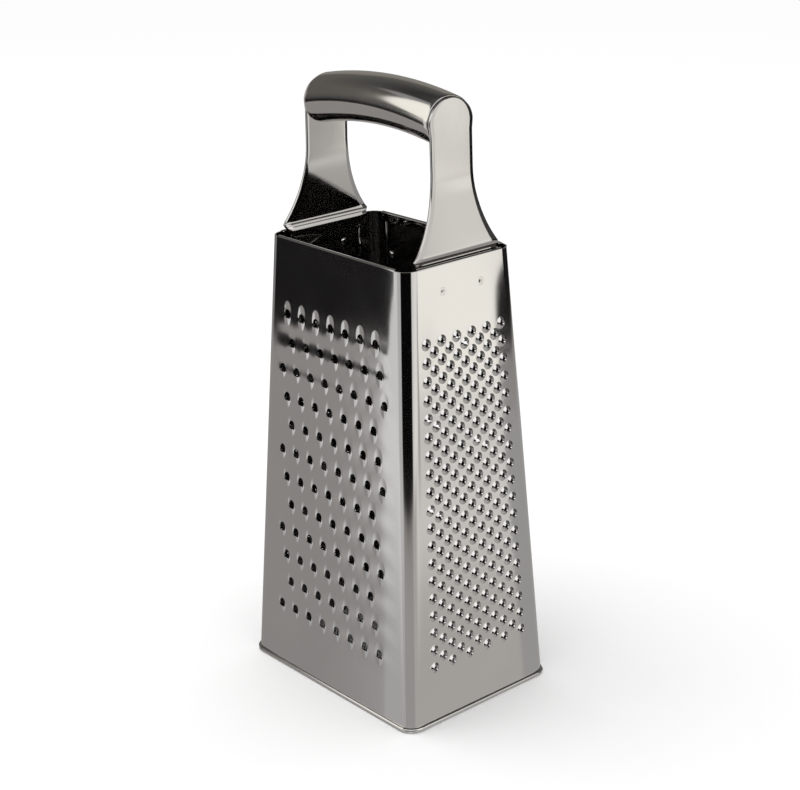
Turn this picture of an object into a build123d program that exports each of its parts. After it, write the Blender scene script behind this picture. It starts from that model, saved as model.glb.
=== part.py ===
from build123d import *
import math
import os

# Four-sided box grater in polished stainless steel sheet, with an arched tube grip.
# Lengths are in millimetres and angles in degrees. The origin is on the table, at the centre
# of the footprint, with +Z up and X along the grip. Seen from above, a wall's turn is counted
# from the wall that faces -Y: 0 is the coarse wall, 90 the fine wall (+X), 180 the slicing
# wall (+Y) and 270 the rasp wall (-X).

# Wrapped sheet that makes the four walls
body_height = 177.0
base_width = 97.4
base_depth = 73.2
mouth_width = 78.6
mouth_depth = 53.3
corner_radius = 5.7
sheet = 0.5
sheet_foot = 0.6
overrun = 3.0

COARSE_TURN = 0
FINE_TURN = 90
SLICER_TURN = 180
RASP_TURN = 270

# Hem folded inwards along each straight top edge
hem_thickness = 1.6
hem_depth = 3.0
hem_proud = 0.6

# Lap seam down the hidden back corner, closed by spot welds
lap_width = 8.0
lap_step = 1.0
seam_groove_width = 0.25
seam_groove_depth = 0.3
seam_weld_count = 6
seam_weld_margin = 14.0

# Crimped rim round the bottom edge
rim_height = 2.1
rim_proud = 0.8
rim_inner_lip = 0.6
rim_outer_round = 0.8

# Coarse teeth: a raised half dome under each arched hole. Margins count down from body_height.
coarse_rows = 12
coarse_pitch = 8.6
coarse_row_pitch = 11.0
coarse_top_margin = 28.9
coarse_long_row_count = 8
coarse_cycle = 3
coarse_hole_width = 3.2
coarse_hole_height = 3.4
coarse_lip_radius = 2.2
coarse_lip_rise = 1.0

# Fine teeth: small domes, each with a hole, in columns that fan out with the wall
fine_rows = 19
fine_columns = 6
fine_row_pitch = 7.0
fine_top_margin = 27.5
fine_pitch_top = 7.4
fine_pitch_bottom = 9.1
fine_dome_radius = 2.3
fine_dome_rise = 1.0
fine_hole_radius = 1.0

# Rasp points: small crowns punched outwards
rasp_rows = 16
rasp_columns = 7
rasp_row_pitch = 8.2
rasp_top_margin = 29.0
rasp_pitch_top = 6.0
rasp_pitch_bottom = 7.5
rasp_crown_radius = 1.5
rasp_tip_radius = 1.05
rasp_crown_rise = 0.9
rasp_hole_radius = 0.8

# Slicing blades: wide raised lips under long slots
slicer_count = 3
slicer_top_margin = 45.0
slicer_pitch = 41.0
slicer_width = 46.0
slicer_slot_height = 3.2
slicer_slot_round = 1.2
slicer_rise = 1.7
slicer_run = 9.0

# Handle legs: plates that spread towards the rim, jog inwards over it and lie on the walls.
# Insets count inwards from the mouth's edge, rises and drops from the top of the walls.
leg_thickness = 1.2
leg_head_inset = 3.9
leg_knee_inset = 3.4
leg_knee_rise = 26.0
leg_knee_round = 110.0
leg_bend_inset = 1.0
leg_bend_rise = 2.5
leg_bend_round = 2.2
leg_jog = 2.1
leg_jog_height = 2.9
leg_jog_round = 1.6
leg_landing = 2.3
leg_landing_round = 3.0
leg_tab_drop = 18.5
leg_tab_half_width = 19.0
leg_neck_half_width = 10.0
leg_neck_rise = 32.8
leg_flare_radius = 47.7
leg_tab_corner = 3.0
leg_weld_spread = 9.3
leg_weld_drop = 9.6
weld_radius = 1.5
weld_dimple = 0.12

# Grip: an arched oval tube whose ends butt against the legs
grip_half_width = 10.8
grip_half_height = 9.3
grip_wall = 0.8
grip_rise = 49.3
grip_crown = 3.5
grip_inset = 0.35

# Reaches from the middle axis and heights above the table that follow from the sizes above
leg_head_reach = mouth_width / 2 - leg_head_inset
leg_knee_reach = mouth_width / 2 - leg_knee_inset
leg_bend_reach = mouth_width / 2 - leg_bend_inset
leg_knee_height = body_height + leg_knee_rise
leg_bend_height = body_height + leg_bend_rise
leg_neck_height = body_height + leg_neck_rise
leg_weld_height = body_height - leg_weld_drop
leg_tab_bottom = body_height - leg_tab_drop
grip_end_height = body_height + grip_rise


def width_at(height):
    """Outside width of the body along X at a height."""
    return base_width + (mouth_width - base_width) * height / body_height


def depth_at(height):
    """Outside depth of the body along Y at a height."""
    return base_depth + (mouth_depth - base_depth) * height / body_height


def wall_half(turn, height):
    """Distance from the middle axis to the outer skin of a wall at a height."""
    if turn in (FINE_TURN, RASP_TURN):
        return width_at(height) / 2
    return depth_at(height) / 2


def wall_half_length(turn, height):
    """Half the length of a wall's flat part, between its two rounded corners."""
    if turn in (FINE_TURN, RASP_TURN):
        return depth_at(height) / 2 - corner_radius
    return width_at(height) / 2 - corner_radius


def wall_slope(turn):
    """How far a wall comes in for each unit of height."""
    return (wall_half(turn, 0) - wall_half(turn, body_height)) / body_height


def on_wall(turn, along, height):
    """Place on a wall's outer skin: X along the wall, Y up it and Z outwards."""
    skin = Plane(
        origin=(along, -wall_half(turn, height), height),
        x_dir=(1, 0, 0),
        z_dir=(0, -1, wall_slope(turn)),
    )
    return Rot(0, 0, turn) * skin.location


def tapered_block(inset, bottom, top):
    """Solid within the body's outer skin, pulled in by inset, with rounded corners."""
    views = []
    for size_at, plane in ((width_at, Plane.XZ), (depth_at, Plane.YZ)):
        low = size_at(bottom) / 2 - inset
        high = size_at(top) / 2 - inset
        outline = Polyline((-low, bottom), (low, bottom), (high, top), (-high, top), close=True)
        views.append(extrude(plane * make_face(outline), amount=base_width, both=True))
    block = views[0] & views[1]
    corners = block.edges().filter_by_position(Axis.Z, bottom, top, inclusive=(False, False))
    return fillet(corners, corner_radius - inset)


def dome(base_radius, rise, shrink):
    """Ball whose cap stands rise above the XY plane on a base_radius, less shrink all round."""
    ball_radius = (base_radius**2 + rise**2) / (2 * rise)
    return Pos(0, 0, rise - ball_radius) * Sphere(ball_radius - shrink)


def above_mid_sheet(reach):
    """Block that keeps what lies outside the middle of the sheet."""
    block = Box(2 * reach, 2 * reach, reach, align=(Align.CENTER, Align.CENTER, Align.MIN))
    return Pos(0, 0, -sheet / 2) * block


def coarse_mouth():
    """Height of the straight lower edge of a coarse hole, from the hole's middle."""
    return -coarse_hole_height / 2


def below_mouth(shape):
    """Part of a shape that lies below the coarse hole's straight edge."""
    reach = coarse_lip_radius + overrun
    block = Box(2 * reach, reach, 4 * reach, align=(Align.CENTER, Align.MAX, Align.CENTER))
    return shape & (Pos(0, coarse_mouth(), 0) * block)


def coarse_lip():
    """Raised half dome under a coarse hole."""
    bump = Pos(0, coarse_mouth(), 0) * dome(coarse_lip_radius, coarse_lip_rise, 0)
    return below_mouth(bump & above_mid_sheet(coarse_lip_radius + overrun))


def coarse_opening():
    """Arched hole with the hollow behind its lip."""
    arch_radius = coarse_hole_width / 2
    straight = coarse_hole_height - arch_radius
    outline = Pos(0, coarse_mouth() + straight / 2) * Rectangle(coarse_hole_width, straight)
    outline += Pos(0, coarse_mouth() + straight) * Circle(arch_radius)
    hollow = Pos(0, coarse_mouth(), 0) * dome(coarse_lip_radius, coarse_lip_rise, sheet)
    return extrude(outline, amount=overrun, both=True) + below_mouth(hollow)


def coarse_places():
    """Places of the coarse teeth: rows of 7, 7 and 8, each stepped along by a third."""
    places = []
    first = -(coarse_long_row_count - 1) / 2 * coarse_pitch
    for row in range(coarse_rows):
        step = (row + 1) % coarse_cycle
        count = coarse_long_row_count if step == 0 else coarse_long_row_count - 1
        start = first + step * coarse_pitch / coarse_cycle
        height = body_height - coarse_top_margin - row * coarse_row_pitch
        for place in range(count):
            places.append(on_wall(COARSE_TURN, start + place * coarse_pitch, height))
    return places


def staggered_places(turn, rows, columns, top_margin, row_pitch, pitch_top, pitch_bottom):
    """Places of full rows with a shorter row between each two, in columns that fan out."""
    places = []
    last = 2 * (rows - 1)
    for half_row in range(last + 1):
        pitch = pitch_top + (pitch_bottom - pitch_top) * half_row / last
        count = columns - half_row % 2
        height = body_height - top_margin - half_row * row_pitch / 2
        for place in range(count):
            places.append(on_wall(turn, (place - (count - 1) / 2) * pitch, height))
    return places


def fine_dome():
    """Raised dome of a fine tooth."""
    return dome(fine_dome_radius, fine_dome_rise, 0) & above_mid_sheet(fine_dome_radius + overrun)


def fine_opening():
    """Hole through a fine dome, with the hollow behind it."""
    hollow = dome(fine_dome_radius, fine_dome_rise, sheet)
    return hollow + Cylinder(fine_hole_radius, 2 * overrun)


def rasp_crown():
    """Raised crown of a rasp point."""
    crown = Cone(
        rasp_crown_radius,
        rasp_tip_radius,
        rasp_crown_rise + sheet / 2,
        align=(Align.CENTER, Align.CENTER, Align.MIN),
    )
    return Pos(0, 0, -sheet / 2) * crown


def rasp_opening():
    """Hole through a rasp point."""
    return Cylinder(rasp_hole_radius, 2 * overrun)


def slicer_lip():
    """Long raised blade whose edge faces up, and the wedge of space behind it."""
    mouth = -slicer_slot_height / 2
    outer = Plane.YZ * make_face(
        Polyline(
            (mouth, -sheet / 2),
            (mouth, slicer_rise),
            (mouth - slicer_run, 0),
            (mouth - slicer_run, -sheet / 2),
            close=True,
        )
    )
    inner = Plane.YZ * make_face(
        Polyline(
            (mouth + overrun / 2, -sheet - overrun),
            (mouth + overrun / 2, slicer_rise - sheet),
            (mouth, slicer_rise - sheet),
            (mouth - slicer_run + sheet, -sheet),
            (mouth - slicer_run + sheet, -sheet - overrun),
            close=True,
        )
    )
    blade = extrude(outer, amount=slicer_width / 2, both=True)
    space = extrude(inner, amount=slicer_width / 2 - sheet, both=True)
    slot = extrude(
        RectangleRounded(slicer_width, slicer_slot_height, slicer_slot_round),
        amount=overrun,
        both=True,
    )
    return blade, space + slot


def hem(turn):
    """Folded hem along a wall's straight top edge, with a round top."""
    fold_radius = hem_thickness / 2
    straight = hem_depth + hem_proud - fold_radius
    section = Pos(-hem_depth + straight / 2, -fold_radius) * Rectangle(straight, hem_thickness)
    section += Pos(hem_proud - fold_radius, -fold_radius) * Circle(fold_radius)
    bar = extrude(Plane.YZ * section, amount=wall_half_length(turn, body_height), both=True)
    return on_wall(turn, 0, body_height) * bar


def seam_line(height, offset):
    """Distance along the slicing wall to the lap seam, moved by an offset."""
    return wall_half_length(SLICER_TURN, height) + offset


def seam_strip(left, right, outside, thickness, bottom, top):
    """Strip that follows the seam, between two offsets, from a depth inwards."""
    corners = [
        on_wall(SLICER_TURN, seam_line(height, offset), height) * Pos(0, 0, -outside)
        for height, offset in ((bottom, left), (bottom, right), (top, right), (top, left))
    ]
    points = [corner.position for corner in corners]
    face = make_face(Polyline(*points, close=True))
    inwards = Plane(on_wall(SLICER_TURN, 0, body_height)).z_dir * -1
    return extrude(face, amount=thickness, dir=inwards)


def seam_weld_places():
    """Places of the spot welds, evenly spaced down the middle of the lap."""
    low = rim_height + seam_weld_margin
    high = body_height - hem_depth - seam_weld_margin
    places = []
    for weld in range(seam_weld_count):
        height = low + (high - low) * weld / (seam_weld_count - 1)
        places.append(on_wall(SLICER_TURN, seam_line(height, -lap_width / 2), height))
    return places


def leg_weld_places(turn):
    """Places of the two spot welds that hold a leg's tab to its wall."""
    return [on_wall(turn, side * leg_weld_spread, leg_weld_height) for side in (-1, 1)]


def weld_nuggets(places, depth):
    """Spot welds that fill their holes through two sheets, a little below the outer skin."""
    nugget = Cylinder(
        weld_radius,
        depth - weld_dimple,
        align=(Align.CENTER, Align.CENTER, Align.MAX),
    )
    return [place * Pos(0, 0, -weld_dimple) * nugget for place in places]


def weld_holes(places):
    """Holes that the spot welds fill."""
    return [place * Cylinder(weld_radius, 2 * overrun) for place in places]


def body_sheet():
    """The four walls as one wrapped sheet, hemmed, lapped, punched and drilled for its welds."""
    outer = tapered_block(0, sheet_foot, body_height)
    inner = tapered_block(sheet, sheet_foot - overrun, body_height + overrun)
    walls = outer - inner
    hems = [hem(turn) for turn in (COARSE_TURN, FINE_TURN, SLICER_TURN, RASP_TURN)]
    lap_top = body_height - hem_depth
    lap = seam_strip(-lap_width, 0, sheet / 2, 3 * sheet / 2, rim_height + sheet, lap_top)
    walls = walls.fuse(*hems, lap)

    fine_at = staggered_places(
        FINE_TURN, fine_rows, fine_columns, fine_top_margin,
        fine_row_pitch, fine_pitch_top, fine_pitch_bottom,
    )
    rasp_at = staggered_places(
        RASP_TURN, rasp_rows, rasp_columns, rasp_top_margin,
        rasp_row_pitch, rasp_pitch_top, rasp_pitch_bottom,
    )
    slicer_at = [
        on_wall(SLICER_TURN, 0, body_height - slicer_top_margin - blade * slicer_pitch)
        for blade in range(slicer_count)
    ]
    blade, slot = slicer_lip()
    raised = [place * coarse_lip() for place in coarse_places()]
    raised += [place * fine_dome() for place in fine_at]
    raised += [place * rasp_crown() for place in rasp_at]
    raised += [place * blade for place in slicer_at]
    walls = walls.fuse(*raised)

    groove = seam_strip(
        -seam_groove_width - lap_step, -lap_step, -seam_groove_depth, 2 * seam_groove_depth,
        rim_height + sheet, lap_top,
    )
    holes = [place * coarse_opening() for place in coarse_places()]
    holes += [place * fine_opening() for place in fine_at]
    holes += [place * rasp_opening() for place in rasp_at]
    holes += [place * slot for place in slicer_at]
    holes += weld_holes(seam_weld_places())
    holes += weld_holes(leg_weld_places(FINE_TURN) + leg_weld_places(RASP_TURN))
    return walls.cut(*holes, groove)


def base_rim(walls):
    """Rounded rim crimped over the bottom edge of the sheet, flat underneath."""
    outline = RectangleRounded(
        base_width + 2 * rim_proud, base_depth + 2 * rim_proud, corner_radius + rim_proud
    )
    ring = extrude(outline, amount=rim_height)
    ring = fillet(ring.edges().filter_by(Plane.XY), rim_outer_round)
    opening_inset = sheet + rim_inner_lip
    opening = extrude(
        RectangleRounded(
            base_width - 2 * opening_inset,
            base_depth - 2 * opening_inset,
            corner_radius - opening_inset,
        ),
        amount=rim_height,
    )
    return ring - opening - walls


def leg_lean():
    """Angle by which a leg leans inwards above its knee."""
    run = leg_knee_reach - leg_head_reach
    return math.degrees(math.atan2(run, grip_end_height - leg_knee_height))


def leg_reach(height):
    """Distance from the middle axis to a leg's outer face above its knee."""
    return leg_knee_reach - math.tan(math.radians(leg_lean())) * (height - leg_knee_height)


def leg_centre_line():
    """Centre line of a leg in its side view, from above its head down to its tab."""
    half = leg_thickness / 2
    upright_half = half / math.cos(math.radians(leg_lean()))
    tab_half = half / math.cos(math.atan(wall_slope(FINE_TURN)))
    top = grip_end_height + grip_half_height + overrun
    points = [
        (leg_reach(top) - upright_half, top),
        (leg_knee_reach - upright_half, leg_knee_height),
        (leg_bend_reach - upright_half, leg_bend_height),
        (leg_bend_reach - upright_half - leg_jog, leg_bend_height - leg_jog_height),
    ]
    for height in (leg_weld_height + leg_landing, leg_tab_bottom):
        points.append((wall_half(FINE_TURN, height) - sheet - tab_half, height))
    rounds = [leg_knee_round, leg_bend_round, leg_jog_round, leg_landing_round]
    return FilletPolyline(*points, radius=rounds)


def leg_half_width(height):
    """Half width of a leg's flared foot at a height."""
    drop = leg_neck_height - height
    return leg_neck_half_width + leg_flare_radius - math.sqrt(leg_flare_radius**2 - drop**2)


def leg_face_outline():
    """Face of a leg seen from its side of the grater: oval head, neck, flared foot and tab."""
    head_width = grip_half_width - grip_inset
    head_height = grip_half_height - grip_inset
    foot_half_width = leg_half_width(leg_bend_height)
    outline = Pos(0, grip_end_height) * Ellipse(head_width, head_height)
    neck_length = grip_end_height - leg_neck_height
    outline += Pos(0, leg_neck_height + neck_length / 2) * Rectangle(
        2 * leg_neck_half_width, neck_length
    )
    foot_length = leg_neck_height - leg_bend_height
    foot = Pos(0, leg_neck_height - foot_length / 2) * Rectangle(2 * foot_half_width, foot_length)
    for side in (-1, 1):
        middle = side * (leg_neck_half_width + leg_flare_radius)
        foot -= Pos(middle, leg_neck_height) * Circle(leg_flare_radius)
    tab_top = leg_bend_height - leg_jog_height
    taper = Polyline(
        (-foot_half_width, leg_bend_height),
        (foot_half_width, leg_bend_height),
        (leg_tab_half_width, tab_top),
        (-leg_tab_half_width, tab_top),
        close=True,
    )
    tab_length = tab_top - leg_tab_bottom
    tab = Pos(0, leg_tab_bottom + tab_length / 2) * Rectangle(2 * leg_tab_half_width, tab_length)
    return outline + foot + make_face(taper) + fillet(
        tab.vertices().group_by(Axis.Y)[0], leg_tab_corner
    )


def leg(turn):
    """One handle leg: a plate bent along its centre line and cut to its face outline."""
    side_view = Plane.XZ * trace(leg_centre_line(), line_width=leg_thickness)
    plate = extrude(side_view, amount=leg_half_width(leg_bend_height), both=True)
    face = extrude(Plane.YZ * leg_face_outline(), amount=base_width / 2)
    shape = Rot(0, 0, turn - FINE_TURN) * (plate & face)
    return shape.cut(*weld_holes(leg_weld_places(turn)))


def grip_tube():
    """Arched oval tube, turned about an axis far below it and cut to the legs' inner faces."""
    thickness = leg_thickness / math.cos(math.radians(leg_lean()))
    half_span = leg_reach(grip_end_height) - thickness
    arch_radius = (half_span**2 + grip_crown**2) / (2 * grip_crown)
    crown_height = grip_end_height + grip_crown
    turn_axis = Axis((0, 0, crown_height - arch_radius), (0, 1, 0))
    sweep_half = math.degrees(math.asin((half_span + overrun) / arch_radius))
    section = Ellipse(grip_half_width, grip_half_height)
    section -= Ellipse(grip_half_width - grip_wall, grip_half_height - grip_wall)
    start = (Plane.YZ * section).moved(Location((0, 0, crown_height)))
    start = start.rotate(turn_axis, -sweep_half)
    tube = revolve(start, axis=turn_axis, revolution_arc=2 * sweep_half)
    size = 2 * (half_span + overrun)
    beyond = Box(size, size, size, align=(Align.MIN, Align.CENTER, Align.CENTER))
    beyond = Pos(half_span, 0, grip_end_height) * Rot(0, -leg_lean(), 0) * beyond
    return tube - beyond - Rot(0, 0, RASP_TURN - FINE_TURN) * beyond


def main():
    os.makedirs("parts", exist_ok=True)
    walls = body_sheet()
    seam_depth = 2 * sheet
    leg_depth = sheet + leg_thickness
    nodes = {
        "body_sheet": [walls],
        "base_rim": [base_rim(walls)],
        "right_leg": [leg(FINE_TURN)],
        "left_leg": [leg(RASP_TURN)],
        "grip_tube": [grip_tube()],
        "right_leg_welds": weld_nuggets(leg_weld_places(FINE_TURN), leg_depth),
        "left_leg_welds": weld_nuggets(leg_weld_places(RASP_TURN), leg_depth),
        "seam_welds": weld_nuggets(seam_weld_places(), seam_depth),
    }
    for name, shapes in nodes.items():
        solids = [solid for shape in shapes for solid in shape.solids()]
        export_step(Compound(children=solids, label=name), f"parts/{name}.step")


main()
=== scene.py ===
"""Box grater in polished stainless steel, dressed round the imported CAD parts.

Sizes below are millimetres, as in the part's source, and turn into metres when a mesh is made.
A wall is worked out flat, in (along, height) coordinates with a height field for how far its
skin stands out, and is then set on its leaning side of the body. Its surface is a lattice of
quads with windows in it: in each window, rings of points run from the edge of a hole out to the
window's own border, so that the whole wall is one net.
"""

import math

import bpy
import numpy as np
from mathutils import Matrix, Vector


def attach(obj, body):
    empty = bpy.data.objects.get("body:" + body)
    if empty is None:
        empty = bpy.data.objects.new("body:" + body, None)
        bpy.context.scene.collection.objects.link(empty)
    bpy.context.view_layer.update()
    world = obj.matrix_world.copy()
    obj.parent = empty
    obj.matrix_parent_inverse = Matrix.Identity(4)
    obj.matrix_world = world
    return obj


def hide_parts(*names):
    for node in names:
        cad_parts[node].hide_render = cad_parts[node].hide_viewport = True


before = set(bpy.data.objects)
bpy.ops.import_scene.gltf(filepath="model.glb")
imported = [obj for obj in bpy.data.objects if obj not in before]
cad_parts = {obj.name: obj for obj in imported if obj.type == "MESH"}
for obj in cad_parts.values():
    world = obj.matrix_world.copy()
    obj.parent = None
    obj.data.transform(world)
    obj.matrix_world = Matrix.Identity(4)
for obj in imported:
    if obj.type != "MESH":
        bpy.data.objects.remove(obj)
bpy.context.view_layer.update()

MM = 0.001
ROOT = "root"

# Body: outside sizes at the table and at the top of the walls, in mm
TOP = 177.0
FOOT = 0.6
BASE = (97.4, 73.2)
MOUTH = (78.6, 53.3)
CORNER = 5.7
SHEET = 0.5
COARSE, FINE, SLICER, RASP = range(4)


def half_size(axis, height):
    """Distance from the middle axis to the outer skin along X (axis 0) or Y (axis 1)."""
    return (BASE[axis] + (MOUTH[axis] - BASE[axis]) * height / TOP) / 2


def reach(wall, height):
    """Distance from the middle axis to a wall's skin."""
    return half_size(1 - wall % 2, height)


def flat_half(wall, height):
    """Half the length of a wall's flat part, between its rounded corners."""
    return half_size(wall % 2, height) - CORNER


def wall_slope(wall):
    """How far a wall comes in for each millimetre of height."""
    return (reach(wall, 0.0) - reach(wall, TOP)) / TOP


def smooth(value, low, high):
    """Smooth step from 0 at low to 1 at high."""
    share = np.clip((value - low) / (high - low), 0, 1)
    return share * share * (3 - 2 * share)


def filleted(share, fillet):
    """0 below 0 and nearly share above it, with a soft foot."""
    share = np.maximum(share, 0)
    return share * share / (share + fillet)


def turned(points, wall):
    """Points of the wall that faces -Y, turned to another wall by quarter turns about Z."""
    cosine, sine = ((1, 0), (0, 1), (-1, 0), (0, -1))[wall]
    x, y, z = np.moveaxis(points, -1, 0)
    return np.stack([cosine * x - sine * y, sine * x + cosine * y, z], -1)


def on_wall(wall, along, height, outward):
    """Place on a wall: along it, up it, and outwards along its normal from the skin."""
    slope = wall_slope(wall)
    length = math.hypot(1, slope)
    skin = np.stack(
        [along, -(reach(wall, height) + outward / length), height + outward * slope / length], -1
    )
    return turned(skin, wall)


# Nets of faces. A triangle is a quad with one corner given twice.
def grid_faces(rows, columns, closed=False):
    """Quads of a grid of points numbered row by row, closed round its columns if asked."""
    row, column = np.meshgrid(
        np.arange(rows - 1), np.arange(columns if closed else columns - 1), indexing="ij"
    )
    right = (column + 1) % columns
    corners = [row * columns + column, row * columns + right,
               (row + 1) * columns + right, (row + 1) * columns + column]
    return np.stack(corners, -1).reshape(-1, 4)


def grid_patch(points, closed=False, turned_over=False):
    """Patch of one grid of points with rows and columns."""
    faces = grid_faces(*points.shape[:2], closed)
    return points.reshape(-1, points.shape[-1]), faces[:, ::-1] if turned_over else faces


def zip_patch(left, right):
    """Triangles between two rising lines of (along, height, outward) points, by their heights."""
    heights = np.concatenate([left[1:, 1], right[1:, 1]])
    is_left = np.arange(len(heights)) < len(left) - 1
    is_left = is_left[np.argsort(heights, kind="stable")]
    on_left = np.cumsum(is_left) - is_left
    on_right = np.cumsum(~is_left) - ~is_left + len(left)
    third = np.where(is_left, on_left + 1, on_right + 1)
    return np.concatenate([left, right]), np.stack([on_left, on_right, third, third], -1)


def joined(patches, tolerance=1e-3):
    """One net from (points, quads) patches, with the points that coincide merged."""
    points = np.concatenate([part for part, _ in patches])
    starts = np.cumsum([0] + [len(part) for part, _ in patches[:-1]])
    quads = np.concatenate([faces + start for (_, faces), start in zip(patches, starts)])
    keys = np.round(points / tolerance + 0.37).astype(np.int64)
    _, first, same = np.unique(keys, axis=0, return_index=True, return_inverse=True)
    return points[first], same.reshape(-1)[quads]


def vertex_normals(points, quads):
    """Area-weighted normals of a net's points."""
    across = points[quads[:, 2]] - points[quads[:, 0]]
    other = points[quads[:, 3]] - points[quads[:, 1]]
    facing = np.cross(across, other)
    normals = np.zeros_like(points)
    for corner in range(4):
        np.add.at(normals, quads[:, corner], facing)
    return normals / np.maximum(np.linalg.norm(normals, axis=1, keepdims=True), 1e-12)


def edge_keys(first, second, count):
    """One number for each edge, the same in both directions."""
    return np.minimum(first, second).astype(np.int64) * count + np.maximum(first, second)


def thickened(points, quads, thickness):
    """Sheet of a thickness behind a skin: the skin, its copy moved in along the normals and
    turned over, and a strip round every free edge. Also gives the free edges' keys and which
    faces are the copy's."""
    count = len(points)
    inner = points - vertex_normals(points, quads) * thickness
    starts = quads.reshape(-1)
    ends = np.roll(quads, -1, axis=1).reshape(-1)
    real = starts != ends
    starts, ends = starts[real], ends[real]
    forwards = starts.astype(np.int64) * count + ends
    backwards = ends.astype(np.int64) * count + starts
    free = ~np.isin(forwards, backwards)
    a, b = starts[free], ends[free]
    rim = np.stack([b, a, a + count, b + count], -1)
    faces = np.concatenate([quads, quads[:, ::-1] + count, rim])
    total = 2 * count
    sharp = np.concatenate([edge_keys(a, b, total), edge_keys(a + count, b + count, total)])
    is_inner = (np.arange(len(faces)) >= len(quads)) & (np.arange(len(faces)) < 2 * len(quads))
    return np.concatenate([points, inner]), faces, sharp, is_inner


def steel_piece(name, points, quads, material, slot, node, sharp=(), inside=None):
    """Object from a net in mm that stands for a CAD node. Repeated corners are dropped, so
    pinched quads are triangles. sharp holds the keys of edges to keep sharp, and inside is a
    second material and the faces that have it."""
    kept = quads != np.roll(quads, -1, axis=1)
    totals = kept.sum(1)
    real = totals > 2
    quads, kept, totals = quads[real], kept[real], totals[real]
    mesh = bpy.data.meshes.new(name)
    mesh.vertices.add(len(points))
    mesh.vertices.foreach_set("co", (points * MM).astype(np.float32).ravel())
    mesh.loops.add(int(totals.sum()))
    mesh.loops.foreach_set("vertex_index", quads[kept].astype(np.int32))
    mesh.polygons.add(len(totals))
    mesh.polygons.foreach_set("loop_start", (np.cumsum(totals) - totals).astype(np.int32))
    mesh.polygons.foreach_set("use_smooth", np.ones(len(totals), bool))
    mesh.materials.append(material)
    if inside:
        mesh.materials.append(inside[0])
        mesh.polygons.foreach_set("material_index", inside[1][real].astype(np.int32))
    mesh.update(calc_edges=True)
    mesh.validate()
    if len(sharp):
        ends = np.zeros(len(mesh.edges) * 2, np.int32)
        mesh.edges.foreach_get("vertices", ends)
        keys = edge_keys(ends[0::2], ends[1::2], len(points))
        mesh.edges.foreach_set("use_edge_sharp", np.isin(keys, sharp))
    piece = bpy.data.objects.new(name, mesh)
    bpy.context.scene.collection.objects.link(piece)
    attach(piece, ROOT)
    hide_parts(node)


# Windows in a lattice
def border(points):
    """Border of a block of lattice points, anticlockwise from its lower right corner."""
    return np.concatenate([points[:-1, -1], points[-1, :0:-1], points[:0:-1, 0], points[0, :-1]])


def with_field(flat, field):
    """(along, height) points with the outward step that a height field gives them."""
    return np.concatenate([flat, field(flat[..., 0], flat[..., 1])[..., None]], -1)


def ring_patch(hole, edge, shares, field):
    """Rings of points from a window's border, share 1, in to a hole's outline, share 0."""
    shares = np.asarray(shares)[:, None, None]
    return grid_patch(with_field(hole * (1 - shares) + edge * shares, field), closed=True)


def lattice_patch(lattice, field, windows=()):
    """Quads of a lattice of (along, height) points without the windows' blocks of quads."""
    rows, columns = lattice.shape[:2]
    solid = np.ones((rows - 1, columns - 1), bool)
    for low, high, left, right in windows:
        solid[low:high, left:right] = False
    points = with_field(lattice, field)
    return points.reshape(-1, 3), grid_faces(rows, columns)[solid.ravel()]


def weld_patch(lattice, window, centre, shares, field):
    """Rings from a window's border in to a weld's circle, each point towards the centre."""
    low, high, left, right = window
    edge = border(lattice[low:high + 1, left:right + 1])
    step = edge - centre
    circle = centre + WELD_RADIUS * step / np.linalg.norm(step, axis=1, keepdims=True)
    return ring_patch(circle, edge, shares, field)


def level_field(along, height):
    """Height field of sheet that lies in its wall's plane."""
    return np.zeros_like(along)


def spring_back(wall, along, height):
    """How far a wall stands out between its corners: a parabola in from each side, as sheet
    springs back beside a bend, to a depth that changes evenly from the left side to the right.
    It grows down from the hem, which holds the wall straight."""
    left, right, top_share = SPRING_BACK[wall]
    half = flat_half(wall, height)
    rise = 1 - (1 - np.clip((half - np.abs(along)) / SPRING_RUN, 0, 1)) ** 2
    depth = left + (right - left) * (1 + along / half) / 2
    grown = top_share + (1 - top_share) * smooth(TOP - height, 0, SPRING_DROP)
    return grown * depth * rise


def levels(*spans):
    """Rising heights made of (low, high, steps) spans that follow one another."""
    parts = [np.linspace(low, high, steps + 1)[:-1] for low, high, steps in spans]
    return np.concatenate(parts + [[spans[-1][1]]])


def at_levels(along, heights):
    """Lattice of (along, height) points: a row of along for each height."""
    return np.stack([along, np.broadcast_to(heights[:, None], along.shape)], -1)


def spread(steps, halves, heights):
    """Lattice of even steps from side to side over the half length at each height."""
    return at_levels(np.linspace(-1, 1, steps + 1) * halves[:, None], heights)


# Sides: the corners' common levels, which each wall's margins also meet
HEM_FOLD = TOP - 0.3
SIDE_LEVELS = levels((FOOT, HEM_FOLD, 28), (HEM_FOLD, TOP, 1))
CORNER_STEPS = 10
HEM_THICKNESS = 1.6
HEM_PROUD = 0.6
HEM_DEPTH = 3.0
HEM_STEPS = 8
SPRING_BACK = ((0.20, 0.24, 0.65), (0.0, 0.2, 0.0), (0.14, 0.10, 0.2), (0.14, 0.14, 0.2))
SPRING_RUN = 10.0
SPRING_DROP = 28.0


def side_points(wall, side):
    """The line where a wall's flat part meets its corner."""
    zero = np.zeros_like(SIDE_LEVELS)
    return np.stack([side * flat_half(wall, SIDE_LEVELS), SIDE_LEVELS, zero], -1)


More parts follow.
